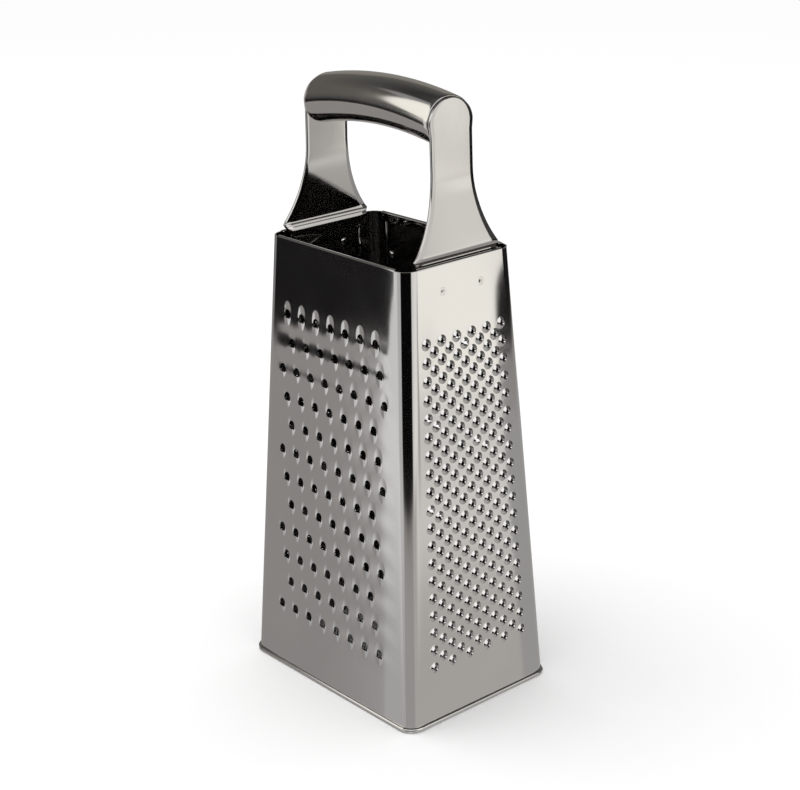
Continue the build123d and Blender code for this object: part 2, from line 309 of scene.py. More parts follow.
def hem_patch(top_row):
    """Hem: the top row of a wall carried over a half ellipse and down inside the wall."""
    turn = np.linspace(0, np.pi, HEM_STEPS + 1)
    outward = np.concatenate([-HEM_THICKNESS / 2 * (1 - np.cos(turn)), [-HEM_THICKNESS] * 2])
    rise = np.concatenate([HEM_PROUD * np.sin(turn), [-HEM_DEPTH / 2, -HEM_DEPTH]])
    points = np.repeat(top_row[None], len(rise), 0)
    points[..., 1] += rise[:, None]
    points[..., 2] += outward[:, None]
    return grid_patch(points)


def finished_wall(wall, patches, left, right, top_row):
    """A wall's patches with its margins and hem, set in place. left and right are its net's
    side lines and top_row its highest points, all as (along, height, outward)."""
    ends = side_points(wall, -1), side_points(wall, 1)
    row = np.concatenate([ends[0][-1:], top_row, ends[1][-1:]])
    patches = patches + [zip_patch(ends[0], left), zip_patch(right, ends[1]), hem_patch(row)]
    placed = []
    for points, faces in patches:
        along, height, outward = np.moveaxis(points, -1, 0)
        outward = outward + spring_back(wall, along, height)
        placed.append((on_wall(wall, along, height, outward), faces))
    return placed


def corner_patch(wall):
    """Rounded corner at the right of a wall: an arc at every level."""
    level, turn = np.meshgrid(
        SIDE_LEVELS, np.linspace(-np.pi / 2, 0, CORNER_STEPS + 1), indexing="ij"
    )
    x = flat_half(wall, level) + CORNER * np.cos(turn)
    y = CORNER - reach(wall, level) + CORNER * np.sin(turn)
    points, faces = grid_patch(np.stack([x, y, level], -1))
    return turned(points, wall), faces


# Coarse teeth. Places in a tooth are measured from the middle of its cell.
COARSE_PITCH = 8.6
COARSE_ROW_PITCH = 11.0
COARSE_TOP_ROW = 148.1
COARSE_ROWS = 12
COARSE_LONG_ROW = 8
COARSE_CYCLE = 3
COARSE_CELL = 6
COARSE_LOWER_STEPS = 4
COARSE_UPPER_STEPS = 7
COARSE_MARGIN = 0.3
HOLE_HALF = 1.6
HOLE_SILL = -1.6
HOLE_SPRING = 0.2
BOWL_HALF = 2.3
BOWL_MIDDLE = 0.8
BOWL_TOP = 5.3
BOWL_DEPTHS = (0.13, 0.05)
BOWL_FILLET = 0.1
BOWL_FADE = 0.3
LIP_HALF = 2.0
LIP_RUN = 3.6
LIP_RISES = (0.34, 0.2)
LIP_BACK = (0.05, 1.1)
RIPPLE = 0.032
RIPPLE_TOP = (-4.0, 1.0)
RIPPLE_BOTTOM = (-8.0, -3.0)
RIPPLE_SIDES = (0.86, 0.975)


def coarse_ripple(along, height):
    """Wave that punching leaves in the sheet: a sine of one row pitch, out below a row of holes
    and in above it, that dies away at the top row, below and beside the teeth."""
    last_row = COARSE_TOP_ROW - (COARSE_ROWS - 1) * COARSE_ROW_PITCH
    wave = -np.sin(2 * np.pi * (height - COARSE_TOP_ROW) / COARSE_ROW_PITCH)
    fade = 1 - smooth(height - COARSE_TOP_ROW, *RIPPLE_TOP)
    fade = fade * smooth(height - last_row, *RIPPLE_BOTTOM)
    fade = fade * (1 - smooth(np.abs(along) / flat_half(COARSE, height), *RIPPLE_SIDES))
    return RIPPLE * wave * fade


def coarse_tooth(x, y, is_lower):
    """Height of a coarse tooth: below the sill a lip, (1 - x**2) ** 1.5 across, whose width and
    rise fall by the powers 0.62 and 1.3 to a point; above it a shallow bowl, 1 - r**2 deep
    inside an ellipse of radius r. Teeth below the first row are shallower."""
    run = np.clip((HOLE_SILL - y) / LIP_RUN, 0, 1)
    width = LIP_HALF * np.maximum(1 - run, 1e-3) ** 0.62
    lip = LIP_RISES[is_lower] * (1 - run) ** 1.3 * np.clip(1 - (x / width) ** 2, 0, 1) ** 1.5
    lip = lip * (1 - smooth(y - HOLE_SILL, *LIP_BACK))
    up = np.maximum(y - BOWL_MIDDLE, 0) / (BOWL_TOP - BOWL_MIDDLE)
    bowl = filleted(1 - (x / BOWL_HALF) ** 2 - up**2, BOWL_FILLET)
    bowl = bowl * smooth(y, HOLE_SILL - BOWL_FADE, HOLE_SPRING + BOWL_FADE)
    return lip - BOWL_DEPTHS[is_lower] * bowl


def arched_outline(half, spring, rise, sag):
    """Outline anticlockwise from its lower right corner in 24 steps: three up the side, twelve
    round a half ellipse of that rise over the spring line, three down and six along a sill that
    sags by half a sine wave."""
    side = np.linspace(HOLE_SILL, spring, 4)
    arch = np.linspace(0, np.pi, 13)[:-1]
    sill = np.linspace(0, np.pi, 7)[:-1]
    x = [np.full(3, half), half * np.cos(arch), np.full(3, -half),
         np.linspace(-half, half, 7)[:-1]]
    y = [side[:-1], spring + rise * np.sin(arch), side[:0:-1], HOLE_SILL - sag * np.sin(sill)]
    return np.stack([np.concatenate(x), np.concatenate(y)], -1)


def coarse_wall():
    """Coarse wall: a lattice of COARSE_CELL steps to a pitch, with a window round each tooth.
    Each row is stepped along by a third of a pitch, and every third row is a long one."""
    cell = COARSE_CELL
    half = COARSE_LONG_ROW / 2 * COARSE_PITCH
    top = COARSE_TOP_ROW + COARSE_ROW_PITCH / 2
    bottom = top - COARSE_ROWS * COARSE_ROW_PITCH
    heights = levels((FOOT, bottom, COARSE_LOWER_STEPS), (bottom, top, cell * COARSE_ROWS),
                     (top, HEM_FOLD, COARSE_UPPER_STEPS), (HEM_FOLD, TOP, 1))
    end = flat_half(COARSE, TOP) - COARSE_MARGIN
    halves = half + (end - half) * np.clip((heights - top) / (TOP - top), 0, 1)
    lattice = spread(COARSE_LONG_ROW * cell, halves, heights)
    around_hole = arched_outline(HOLE_HALF, HOLE_SPRING, HOLE_HALF, 0)
    around_tooth = arched_outline(BOWL_HALF, BOWL_MIDDLE, BOWL_TOP - BOWL_MIDDLE, LIP_RUN)
    windows = []
    patches = []
    for row in range(COARSE_ROWS):
        step = (row + 1) % COARSE_CYCLE
        low = COARSE_LOWER_STEPS + (COARSE_ROWS - 1 - row) * cell
        for place in range(COARSE_LONG_ROW if step == 0 else COARSE_LONG_ROW - 1):
            left = step * cell // COARSE_CYCLE + place * cell
            windows.append((low, low + cell, left, left + cell))
            block = lattice[low:low + cell + 1, left:left + cell + 1]
            centre = (block[0, 0] + block[-1, -1]) / 2

            def tooth_field(along, height):
                tooth = coarse_tooth(along - centre[0], height - centre[1], row > 0)
                return coarse_ripple(along, height) + tooth

            hole, outline = centre + around_hole, centre + around_tooth
            patches.append(ring_patch(outline, border(block), (1, 0.12, 0), tooth_field))
            patches.append(ring_patch(hole, outline, (1, 0.66, 0.3, 0), tooth_field))
    patches.append(lattice_patch(lattice, coarse_ripple, windows))
    net = with_field(lattice, coarse_ripple)
    return finished_wall(COARSE, patches, net[:, 0], net[:, -1], net[-1])


# Walls whose teeth stand in staggered rows, each in a diamond of the sheet. Above them are the
# handle's welds, each in a window of the lattice.
WELD_HEIGHT = 167.4
WELD_SPREAD = 9.3
WELD_RADIUS = 1.5
WELD_WINDOW = 4.2
WELD_ROWS = 4
WELD_HALF_COLUMNS = 3
UNDER_WELD_ROWS = 3
STAGGERED_MARGIN = 0.25


class Staggered:
    """Fanned lattice in (column, row) counts, with a full row of teeth at each even row."""

    def __init__(self, wall, rows, columns, top_row, row_pitch, pitch_top, pitch_bottom, steps):
        self.wall, self.columns, self.last = wall, columns, 2 * (rows - 1)
        self.top_row, self.row_step, self.steps = top_row, row_pitch / 2, steps
        self.pitch_top, self.pitch_bottom = pitch_top, pitch_bottom

    def place(self, column, row):
        """(along, height) of a count."""
        pitch = self.pitch_top + (self.pitch_bottom - self.pitch_top) * row / self.last
        return np.stack(
            np.broadcast_arrays(column * pitch / 2, self.top_row - self.row_step * row), -1
        )

    def teeth(self, rings, tooth):
        """All the teeth at once. rings gives the radii of a tooth's rings in a direction, from
        its foot to its hole, and tooth its height at (x, y) from its middle."""
        counts = np.concatenate([
            np.stack([np.arange(row % 2 + 1 - self.columns, self.columns - row % 2, 2),
                      np.full(self.columns - row % 2, row)], -1)
            for row in range(self.last + 1)
        ])
        share = np.arange(self.steps) / self.steps
        column = np.concatenate([1 - share, -share, share - 1, share])
        rise = np.concatenate([share, 1 - share, -share, share - 1])
        middle = self.place(counts[:, 0], counts[:, 1])[:, None]
        edge = self.place(counts[:, :1] + column, counts[:, 1:] - rise) - middle
        angle = np.arctan2(edge[..., 1], edge[..., 0])
        facing = np.stack([np.cos(angle), np.sin(angle)], -1)
        local = np.stack([edge] + [radius[..., None] * facing for radius in rings(angle)], 1)
        outward = tooth(local[..., 0], local[..., 1])[..., None]
        points = np.concatenate([local + middle[:, None], outward], -1)
        count, rows, round_points = points.shape[:3]
        faces = grid_faces(rows, round_points, closed=True)
        faces = faces + np.arange(count)[:, None, None] * rows * round_points
        return points.reshape(-1, 3), faces.reshape(-1, 4)

    def fringe(self):
        """Flat half and quarter diamonds that square off the sides, the top and the bottom."""
        mirror = np.array([-1, 1])
        span = np.arange(-self.steps, self.steps + 1) / self.steps
        inset = 1 - np.abs(span)
        grids = []
        for row in range(1, self.last, 2):
            tip = self.place(self.columns - inset, row - span)
            line = self.place(self.columns, row - span)
            grids.append(np.stack([tip, line], 1))
            grids.append(np.stack([line * mirror, tip * mirror], 1))
        quarter = np.arange(self.steps + 1) / self.steps
        for row, side in ((-1, 1), (self.last + 1, -1)):
            for column in range(2 - self.columns, self.columns, 2):
                tip = self.place(column + span, row + side * inset)
                line = self.place(column + span, row)
                grids.append(np.stack([tip, line][::side]))
            for end in (-1, 1):
                column = end * (self.columns - 1 + quarter)
                tip = self.place(column, row + side * quarter)
                grids.append(np.stack([tip, self.place(column, row)][::side])[:, ::end])
        return [grid_patch(with_field(grid, level_field)) for grid in grids]

    def wall_patches(self, rings, tooth):
        """The whole wall: teeth, fringe, and bands of lattice below and above, the upper one
        with the holes for the handle's welds."""
        patches = [self.teeth(rings, tooth)] + self.fringe()
        steps = 2 * self.columns * self.steps
        half_top, top = self.place(self.columns, -1)
        half_bottom, bottom = self.place(self.columns, self.last + 1)
        low, high = WELD_HEIGHT - WELD_WINDOW, WELD_HEIGHT + WELD_WINDOW
        heights = levels((top, low, UNDER_WELD_ROWS), (low, high, WELD_ROWS),
                         (high, HEM_FOLD, 2), (HEM_FOLD, TOP, 1))
        end = flat_half(self.wall, TOP) - STAGGERED_MARGIN
        halves = half_top + (end - half_top) * (heights - top) / (TOP - top)
        upper = spread(steps, halves, heights)
        windows = []
        first, last = UNDER_WELD_ROWS, UNDER_WELD_ROWS + WELD_ROWS
        for side in (-1, 1):
            share = side * WELD_SPREAD / halves[(first + last) // 2]
            middle = int(round(steps / 2 * (1 + share)))
            windows.append((first, last, middle - WELD_HALF_COLUMNS, middle + WELD_HALF_COLUMNS))
            centre = np.array([side * WELD_SPREAD, WELD_HEIGHT])
            patches.append(weld_patch(upper, windows[-1], centre, (1, 0.5, 0.12, 0), level_field))
        heights = levels((FOOT, bottom, 4))
        lower = spread(steps, np.full(len(heights), half_bottom), heights)
        patches += [lattice_patch(upper, level_field, windows), lattice_patch(lower, level_field)]
        rows = np.arange(self.last * self.steps, -1, -1) / self.steps
        side = self.place(self.columns, rows)
        side = with_field(np.concatenate([lower[:, -1], side, upper[:, -1]]), level_field)
        left = side * np.array([-1, 1, 1])
        return finished_wall(self.wall, patches, left, side, with_field(upper[-1], level_field))


# Fine teeth: radii of a flat ring, the dome's foot, its side, its burr's foot and its hole
FINE_RADII = (2.34, 2.2, 1.8, 1.4, 1.1)
FINE_RISE = 0.8
FINE_BURR = 0.16


def fine_tooth(x, y):
    """Height of a fine tooth: a cap of a sphere with a burr turned up round its hole."""
    _, foot, _, burr, hole = FINE_RADII
    ball = (foot**2 + FINE_RISE**2) / (2 * FINE_RISE)
    radius = np.minimum(np.hypot(x, y), foot)
    cap = np.sqrt(ball**2 - radius**2) - (ball - FINE_RISE)
    return cap + FINE_BURR * (1 - smooth(radius, hole, burr))


def fine_rings(angle):
    """Circles of a fine tooth."""
    return np.multiply.outer(FINE_RADII, np.ones_like(angle))


# Rasp points: radii of a flat ring, the crown's foot, its side and its hole
RASP_RADII = (1.84, 1.7, 1.15, 0.62)
RASP_TEAR = 0.22
RASP_RISE = 1.15
RASP_PETAL_RISE = 0.7
RASP_PETAL_RUN = (0.8, 1.3)


def rasp_tooth(x, y):
    """Height of a rasp point: a steep crown, (1 - r) ** 0.8 high at the share r of its foot's
    radius, that ends in a ragged edge of four petals, a cosine of four times the angle."""
    foot = RASP_RADII[1]
    radius = np.minimum(np.hypot(x, y), foot)
    petals = 0.5 + 0.5 * np.cos(4 * np.arctan2(y, x))
    crown = (1 - radius / foot) ** 0.8
    petals = RASP_PETAL_RISE * petals * (1 - smooth(radius, *RASP_PETAL_RUN))
    return RASP_RISE * crown * (1 + petals)


def rasp_rings(angle):
    """Circles of a rasp point, and its hole pulled out where its petals tear."""
    radii = np.multiply.outer(RASP_RADII, np.ones_like(angle))
    radii[-1] += RASP_TEAR * np.cos(4 * angle)
    return radii


fine_wall = Staggered(FINE, rows=19, columns=6, top_row=149.5, row_pitch=7.0,
                      pitch_top=7.4, pitch_bottom=9.1, steps=4)
rasp_wall = Staggered(RASP, rows=16, columns=7, top_row=148.0, row_pitch=8.2,
                      pitch_top=6.0, pitch_bottom=7.5, steps=3)

# Slicing wall: three blades, the lap seam and its welds. The lattice's levels are counted from
# each blade's slot and each weld, and the seam's lines from the wall's side.
BLADES = (50.0, 91.0, 132.0)
SLOT_HALF = 23.0
SLOT_HALF_HEIGHT = 1.6
SLOT_ENDS = (-2.5, 0.3)
SLOT_WINDOW = (24.4, 3.2)
BLADE_RISE = 1.7
BLADE_RUN = 9.0
BLADE_FILLET = 0.05
BLADE_BACK = 0.8
BLADE_LEVELS = (-10.8, -9, -7, -5, -3.2, -1.6, 0, 1.6, 3.2, 4.5, 5.8)
DIP_DEPTH = 0.35
DIP_RUN = 4.0
DIP_FILLET = 0.1
SEAM_WELDS = np.linspace(16.1, 160.0, 6)
SEAM_MIDDLE = 4.0
SEAM_GROOVE = (1.25, 1.0)
SEAM_DEPTH = 0.3
SEAM_SIDE = 0.03
SEAM_WINDOW = 2.6
SLICER_MARGIN = 0.4
NEAR = 0.01


def slicer_field(along, height):
    """Height of the slicing wall: below each slot a blade that leans out towards its edge,
    above it a shallow dip, and down one side the step of the lap seam."""
    ends = 1 - smooth(np.abs(along) - SLOT_HALF, *SLOT_ENDS)
    total = np.zeros_like(along)
    for blade in BLADES:
        y = height - blade
        run = np.clip((-SLOT_HALF_HEIGHT - y) / BLADE_RUN, 0, 1)
        lip = BLADE_RISE * filleted(1 - run, BLADE_FILLET)
        lip = lip * (1 - smooth(y, -SLOT_HALF_HEIGHT, BLADE_BACK - SLOT_HALF_HEIGHT))
        dip = DIP_DEPTH * filleted(1 - (y - SLOT_HALF_HEIGHT) / DIP_RUN, DIP_FILLET)
        dip = dip * smooth(y, -SLOT_HALF_HEIGHT, SLOT_HALF_HEIGHT)
        total = total + ends * (lip - dip)
    from_side = flat_half(SLICER, height) - along
    groove = (from_side < SEAM_GROOVE[0] + NEAR) & (from_side > SEAM_GROOVE[1] - NEAR)
    groove = groove & (height < TOP - HEM_DEPTH - NEAR)
    return total - SEAM_DEPTH * groove


def slicer_wall():
    """Slicing wall: a lattice whose levels and lines follow the blades and the seam, with a
    window round each slot and each of the seam's welds."""
    ends = [FOOT, 8.0, TOP - HEM_DEPTH - 0.1, TOP - HEM_DEPTH, HEM_FOLD, TOP]
    heights = np.concatenate([ends, np.add.outer(BLADES, BLADE_LEVELS).ravel(), np.add.outer(
        SEAM_WELDS, np.linspace(-SEAM_WINDOW, SEAM_WINDOW, 5)).ravel()])
    heights = np.unique(np.round(heights, 4))
    outer = np.concatenate([np.linspace(19.5, SLOT_HALF, 5), [SLOT_WINDOW[0], 25.0]])
    centre = np.concatenate([-outer[::-1], np.linspace(-16, 16, 9), outer])
    count = len(centre)
    centre = np.broadcast_to(centre, (len(heights), count))
    edge = flat_half(SLICER, heights)[:, None]
    seam = np.array([6.6, 5.3, SEAM_MIDDLE, 2.7, 1.45, SEAM_GROOVE[0] + SEAM_SIDE, SEAM_GROOVE[0],
                     SEAM_GROOVE[1], SEAM_GROOVE[1] - SEAM_SIDE, SLICER_MARGIN])
    along = np.concatenate([SLICER_MARGIN - edge, centre, edge - seam], 1)
    lattice = at_levels(along, heights)
    windows = []
    patches = []
    for blade in BLADES:
        low, high = np.searchsorted(
            heights, [blade - SLOT_WINDOW[1] - NEAR, blade + SLOT_WINDOW[1] - NEAR])
        windows.append((low, high, 2, count - 1))
        rim = border(lattice[low:high + 1, 2:count])
        shrink = np.array([SLOT_HALF, SLOT_HALF_HEIGHT]) / SLOT_WINDOW
        hole = (rim - [0, blade]) * shrink + [0, blade]
        patches.append(ring_patch(hole, rim, (1, 0.5, 0), slicer_field))
    first = 1 + count
    for at in SEAM_WELDS:
        low, high = np.searchsorted(heights, [at - SEAM_WINDOW - NEAR, at + SEAM_WINDOW - NEAR])
        windows.append((low, high, first, first + 4))
        middle = np.array([flat_half(SLICER, at) - SEAM_MIDDLE, at])
        patches.append(weld_patch(lattice, windows[-1], middle, (1, 0.3, 0), slicer_field))
    patches.append(lattice_patch(lattice, slicer_field, windows))
    net = with_field(lattice, slicer_field)
    return finished_wall(SLICER, patches, net[:, 0], net[:, -1], net[-1])


# Bead round the foot
BEAD_HEIGHT = 2.1
BEAD_PROUD = 0.8
BEAD_BEHIND = 1.1
BEAD_ROUND = 0.78
BEAD_INNER_ROUND = 0.35
BEAD_ROUND_STEPS = 6
BEAD_TURN_STEPS = 12


def rounded_profile(corners, radii, steps):
    """Closed outline, anticlockwise: each corner of a square outline with an arc in its place."""
    corners = np.asarray(corners, float)
    parts = []
    for place, radius in enumerate(radii):
        start = np.pi * (place / 2 - 1)
        turn = start + np.linspace(0, np.pi / 2, steps + 1)
        inwards = -radius * np.sign([np.cos(start + np.pi / 4), np.sin(start + np.pi / 4)])
        parts.append(corners[place] + inwards + radius * np.stack([np.cos(turn), np.sin(turn)], -1))
    return np.concatenate(parts)


def bead_net():
    """Bead: a rounded outline carried round the foot's rounded rectangle."""
    outline = rounded_profile(
        [(-BEAD_BEHIND, 0), (BEAD_PROUD, 0),
         (BEAD_PROUD, BEAD_HEIGHT), (-BEAD_BEHIND, BEAD_HEIGHT)],
        (BEAD_INNER_ROUND, BEAD_ROUND, BEAD_ROUND, BEAD_INNER_ROUND), BEAD_ROUND_STEPS,
    )
    half = np.array(BASE) / 2 - CORNER
    turns = np.concatenate([start + np.linspace(0, np.pi / 2, BEAD_TURN_STEPS + 1)
                            for start in np.arange(4) * np.pi / 2])
    quarter = np.repeat(np.arange(4), BEAD_TURN_STEPS + 1)
    signs = np.array([(1, 1), (-1, 1), (-1, -1), (1, -1)])[quarter]
    outward = np.stack([np.cos(turns), np.sin(turns)], -1)
    middle = signs * half
    plan = middle[:, None] + (CORNER + outline[None, :, :1]) * outward[:, None]
    height = np.broadcast_to(outline[None, :, 1:], plan.shape[:2] + (1,))
    points = np.concatenate([plan, height], -1)
    points = np.concatenate([points, points[:1]])
    return joined([grid_patch(points, closed=True, turned_over=True)])


# Handle legs. The rounds are those of the centre line at the knee, the bend over the rim, the
# jog's foot and the landing on the wall.
LEG_THICKNESS = 1.2
LEG_ROUNDS = (110.0, 4.0, 6.3, 3.0)
LEG_EDGE = 0.42
HEAD_HEIGHT = 226.3
HEAD_HALF_WIDTH = 10.45
HEAD_HALF_HEIGHT = 8.95
KNEE = (35.9, 203.0)
HEAD_REACH = 35.4
NECK_HALF = 10.0
NECK_HEIGHT = 209.8
FLARE = 47.7
BEND_HEIGHT = 179.5
BEND_REACH = 38.3
JOG = 2.1
JOG_HEIGHT = 2.9
LANDING = 2.3
TAB_HALF = 19.0
TAB_BOTTOM = 158.5
TAB_CORNER = 3.0


def bent_line(points, radii, steps=10):
    """Line through points with an arc of its radius at each inner point."""
    points = np.asarray(points, float)
    parts = [points[:1]]
    for before, at, after, radius in zip(points[:-2], points[1:-1], points[2:], radii):
        to_before = (before - at) / np.linalg.norm(before - at)
        to_after = (after - at) / np.linalg.norm(after - at)
        half_angle = np.arccos(np.clip(to_before @ to_after, -1, 1)) / 2
        middle = at + radius / np.sin(half_angle) * (to_before + to_after) / np.linalg.norm(
            to_before + to_after)
        first = at + to_before * radius / np.tan(half_angle) - middle
        last = at + to_after * radius / np.tan(half_angle) - middle
        share = np.linspace(0, 1, steps + 1)[:, None]
        sweep = np.arccos(np.clip(first @ last / radius**2, -1, 1))
        arc = (np.sin((1 - share) * sweep) * first + np.sin(share * sweep) * last) / np.sin(sweep)
        parts.append(middle + arc)
    return np.concatenate(parts + [points[-1:]])


def lean_reach(height):
    """Reach of a leg's outer face above its knee."""
    slope = (KNEE[0] - HEAD_REACH) / (HEAD_HEIGHT - KNEE[1])
    return KNEE[0] - slope * (height - KNEE[1])


def leg_line():
    """Centre line of a leg in (reach, height), from above its head down to its tab."""
    half = LEG_THICKNESS / 2
    top = HEAD_HEIGHT + HEAD_HALF_HEIGHT + 3
    behind = SHEET + half * math.hypot(1, wall_slope(FINE))
    tab = [(reach(FINE, z) - behind, z) for z in (WELD_HEIGHT + LANDING, TAB_BOTTOM)]
    return bent_line(
        [(lean_reach(top) - half, top), (KNEE[0] - half, KNEE[1]),
         (BEND_REACH - half, BEND_HEIGHT), (BEND_REACH - half - JOG, BEND_HEIGHT - JOG_HEIGHT)]
        + tab, LEG_ROUNDS,
    )


def leg_half(height):
    """Half width of a leg at a height: oval head, neck, flare that follows an arc, and tab."""
    oval = HEAD_HALF_WIDTH * np.sqrt(
        np.clip(1 - ((height - HEAD_HEIGHT) / HEAD_HALF_HEIGHT) ** 2, 0, 1))
    drop = np.clip(NECK_HEIGHT - height, 0, NECK_HEIGHT - BEND_HEIGHT)
    flare = NECK_HALF + FLARE - np.sqrt(FLARE**2 - drop**2)
    share = np.clip((BEND_HEIGHT - height) / JOG_HEIGHT, 0, 1)
    foot = flare + (TAB_HALF - flare) * share
    low = np.clip(TAB_BOTTOM + TAB_CORNER - height, 0, TAB_CORNER)
    foot = foot - (TAB_CORNER - np.sqrt(TAB_CORNER**2 - low**2))
    return np.where(height > HEAD_HEIGHT, oval, np.maximum(oval, foot))


def leg_net(side):
    """Leg: a flat plate with rounded edges, bent along its centre line. Rows go down it and
    columns go right round it: outer face, edge, inner face, edge."""
    head = HEAD_HEIGHT + HEAD_HALF_HEIGHT * np.cos(np.linspace(0, np.pi / 2, 19))
    folds_top, folds_end = BEND_HEIGHT + 3, 172.0
    heights = np.concatenate([
        head, np.linspace(HEAD_HEIGHT, folds_top, 26)[1:],
        np.linspace(folds_top, folds_end, 40)[1:],
        np.linspace(folds_end, TAB_BOTTOM + TAB_CORNER, 4)[1:],
        TAB_BOTTOM + TAB_CORNER * np.cos(np.linspace(0, np.pi / 2, 6))[1:],
    ])
    half = leg_half(heights)
    slope = np.gradient(half, heights)
    normal = np.stack([np.ones_like(slope), -slope], -1)
    normal /= np.linalg.norm(normal, axis=1, keepdims=True)
    normal[0], normal[-1] = (0, 1), (0, -1)
    turn = np.linspace(0, np.pi, 9)
    reachable = LEG_EDGE * (1 - np.sin(turn))
    depth = LEG_THICKNESS / 2 * np.cos(turn)
    across = half[:, None] - normal[:, :1] * reachable
    down = heights[:, None] - normal[:, 1:] * reachable
    share = np.linspace(-1, 1, 15)[1:-1]
    face_y, face_z = across[:, :1] * share, np.repeat(down[:, :1], len(share), 1)
    y = np.concatenate([face_y, across, face_y[:, ::-1], -across[:, ::-1]], 1)
    z = np.concatenate([face_z, down, face_z[:, ::-1], down[:, ::-1]], 1)
    out = LEG_THICKNESS / 2 * np.ones(len(share))
    out = np.concatenate([out, depth, -out, depth[::-1]])
    line = leg_line()[::-1]
    reach_at = np.interp(z, line[:, 1], line[:, 0])
    step = 0.02
    lean = (np.interp(z + step, line[:, 1], line[:, 0])
            - np.interp(z - step, line[:, 1], line[:, 0])) / (2 * step)
    length = np.hypot(1, lean)
    points = np.stack([reach_at + out / length, y, z - out * lean / length], -1)
    end = points[-1:].copy()
    end[..., 0], end[..., 2] = points[-1, :, 0].mean(), TAB_BOTTOM
    points = np.concatenate([points, end])
    if side < 0:
        points = points * [-1, -1, 1]
    return joined([grid_patch(points, closed=True, turned_over=True)])


# Grip tube
GRIP_HALF_WIDTH = 10.8
GRIP_HALF_HEIGHT = 9.29
GRIP_WALL = 0.8
GRIP_CROWN = 3.5
GRIP_EDGE = 0.3


def grip_net():
    """Tube: an oval carried along an arc, cut by the legs' leaning inner faces. Rows go round
    the wall's own section, so the ends and the bore are closed too."""
    slope = (KNEE[0] - HEAD_REACH) / (HEAD_HEIGHT - KNEE[1])
    span = HEAD_REACH - LEG_THICKNESS * math.hypot(1, slope)
    arch = (span**2 + GRIP_CROWN**2) / (2 * GRIP_CROWN)
    low = HEAD_HEIGHT + GRIP_CROWN - arch
    turn = np.linspace(0, 2 * np.pi, 65)[:-1]
    edge = np.linspace(0, np.pi / 2, 5)
    rows = [(s, 0.0, GRIP_EDGE) for s in np.linspace(-1, 1, 41)]
    rows += [(1, GRIP_EDGE * (1 - np.cos(a)), GRIP_EDGE * (1 - np.sin(a))) for a in edge[1:]]
    rows += [(1, GRIP_WALL, 0.0)] + [(s, GRIP_WALL, 0.0) for s in np.linspace(1, -1, 9)[1:]]
    rows += [(-1, GRIP_EDGE * (1 - np.cos(a)), GRIP_EDGE * (1 - np.sin(a))) for a in edge[:0:-1]]
    share, inset, short = np.array(rows).T[:, :, None]
    width = (GRIP_HALF_WIDTH - inset) * np.cos(turn)
    height = arch + (GRIP_HALF_HEIGHT - inset) * np.sin(turn)
    angle = np.full_like(height, span / arch)
    for _ in range(4):
        cut = span - slope * (low + height * np.cos(angle) - HEAD_HEIGHT) - short
        angle = np.arcsin(cut / height)
    angle = angle * share
    points = np.stack([height * np.sin(angle), width, low + height * np.cos(angle)], -1)
    points = np.concatenate([points, points[:1]])
    return joined([grid_patch(points, closed=True)])


# Spot welds
def weld_net(places):
    """Weld marks: each a shallow dish flush with the skin, on a plug through both sheets, whose
    depth takes the place of the lowest rise."""
    radius = np.array([0.0, 0.35, 0.7, 1.0, 1.25, 1.42, WELD_RADIUS, WELD_RADIUS, 0.0])
    rise = np.array([-0.06, -0.02, 0.0, 0.0, 0.0, 0.0, 0.0, -0.5, -0.5])
    turn = np.linspace(0, 2 * np.pi, 25)[:-1]
    patches = []
    for wall, along, height, depth in places:
        out = np.where(rise == rise.min(), -depth, rise)
        x = along + radius[:, None] * np.cos(turn)
        z = height + radius[:, None] * np.sin(turn)
        points = on_wall(wall, x, z, np.broadcast_to(out[:, None], x.shape))
        patches.append(grid_patch(points, closed=True, turned_over=True))
    return joined(patches, 1e-4)


# Finishes
def linear(code):
    """Linear colour of an sRGB hex code."""
    values = [int(code[start:start + 2], 16) / 255 for start in (1, 3, 5)]
    return tuple(v / 12.92 if v <= 0.04045 else ((v + 0.055) / 1.055) ** 2.4
                 for v in values) + (1.0,)


def add(tree, kind, settings=None, **inputs):
    """Add a node: settings are its attributes, and inputs its sockets' values, linked outputs
    or nodes, whose first output is linked. A socket is named with underscores for spaces, or by
    number as in_0."""
    node = tree.nodes.new(kind)
    for name, value in (settings or {}).items():
        setattr(node, name, value)
    for name, value in inputs.items():
        socket = node.inputs[int(name[3:]) if name.startswith("in_") else name.replace("_", " ")]
        if isinstance(value, bpy.types.Node):
            value = value.outputs[0]
        if isinstance(value, bpy.types.NodeSocket):
            tree.links.new(value, socket)
        else:
            socket.default_value = value
    return node


